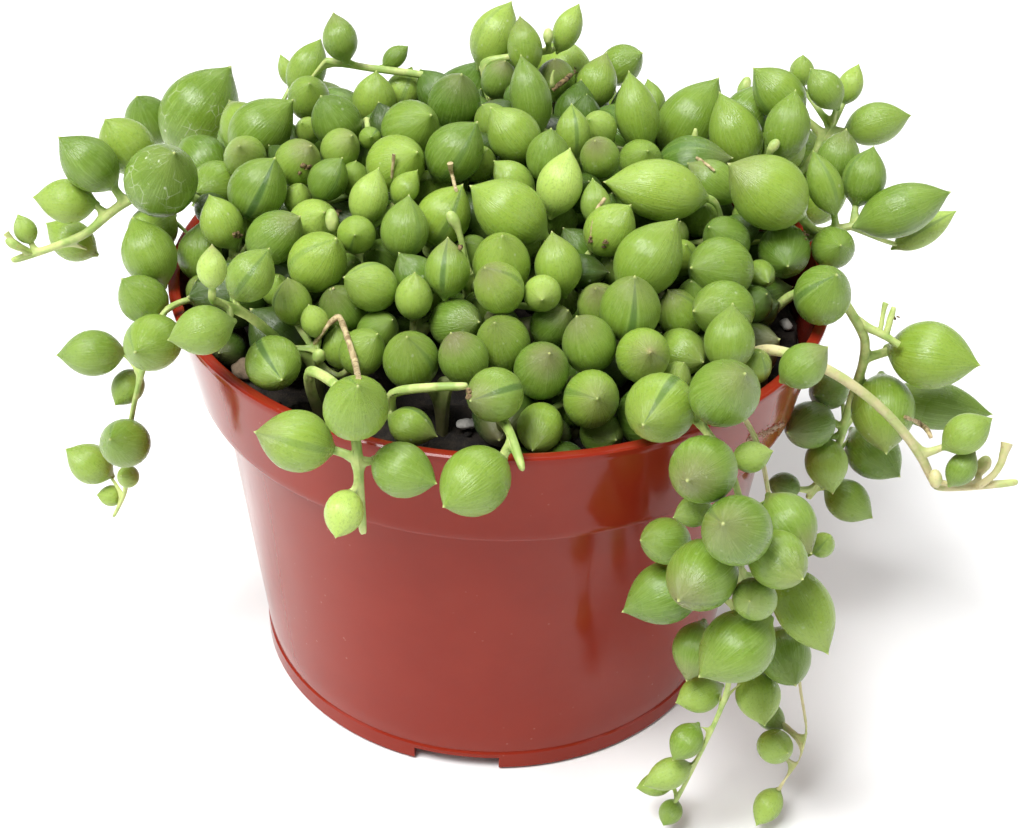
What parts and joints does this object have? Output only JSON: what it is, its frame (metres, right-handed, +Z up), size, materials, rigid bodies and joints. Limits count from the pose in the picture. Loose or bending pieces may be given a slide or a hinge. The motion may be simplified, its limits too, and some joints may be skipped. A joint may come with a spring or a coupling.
{
  "type": "potted string of tears plant",
  "caption": "Trailing succulent with plump, pointed, tear-shaped leaves on thin stems, spilling over the rim of a glossy terracotta-red plastic nursery pot filled with potting mix.",
  "frame": {"origin": "middle of the pot's foot, on the ground", "axes": "+Z up along the pot's axis; -Y towards the side that the picture shows; +X to that side's right"},
  "size_m": [0.1647, 0.1415, 0.1006],
  "materials": {
    "pot_plastic": "glossy, moulded",
    "potting_mix": "matt, crumbly",
    "leaf": "waxy, semi-gloss",
    "dry_stalk": "matt, dry",
    "bark": "matt",
    "grit": "matt"
  },
  "bodies": {
    "root": {"bark_chip": "bark", "dry_stalk": "dry_stalk", "pot": "pot_plastic", "soil": "potting_mix", "stem_back_fall_1": "leaf", "stem_back_fall_2": "leaf", "stem_back_fall_3": "leaf", "stem_back_left": "leaf", "stem_back_middle": "leaf", "stem_far_left": "leaf", "stem_front": "leaf", "stem_front_left": "leaf", "stem_front_right": "leaf", "stem_front_right_tail": "leaf", "stem_front_runner": "leaf", "stem_left_fall": "leaf", "stem_left_front": "leaf", "stem_right_crown": "leaf", "stem_right_fall": "leaf", "stem_right_reach": "leaf", "stem_right_top": "leaf", "stone_grey": "grit", "stone_pale": "grit", "tuft_02": "leaf", "tuft_03": "leaf", "tuft_04": "leaf", "tuft_05": "leaf", "tuft_06": "leaf", "tuft_07": "leaf", "tuft_08": "leaf", "tuft_09": "leaf", "tuft_10": "leaf", "tuft_11": "leaf", "tuft_12": "leaf", "tuft_13": "leaf", "tuft_14": "leaf", "tuft_15": "leaf", "tuft_16": "leaf", "tuft_17": "leaf", "tuft_18": "leaf", "tuft_19": "leaf", "tuft_20": "leaf", "tuft_21": "leaf", "tuft_22": "leaf", "tuft_23": "leaf", "tuft_24": "leaf"}
  },
  "joints": []
}
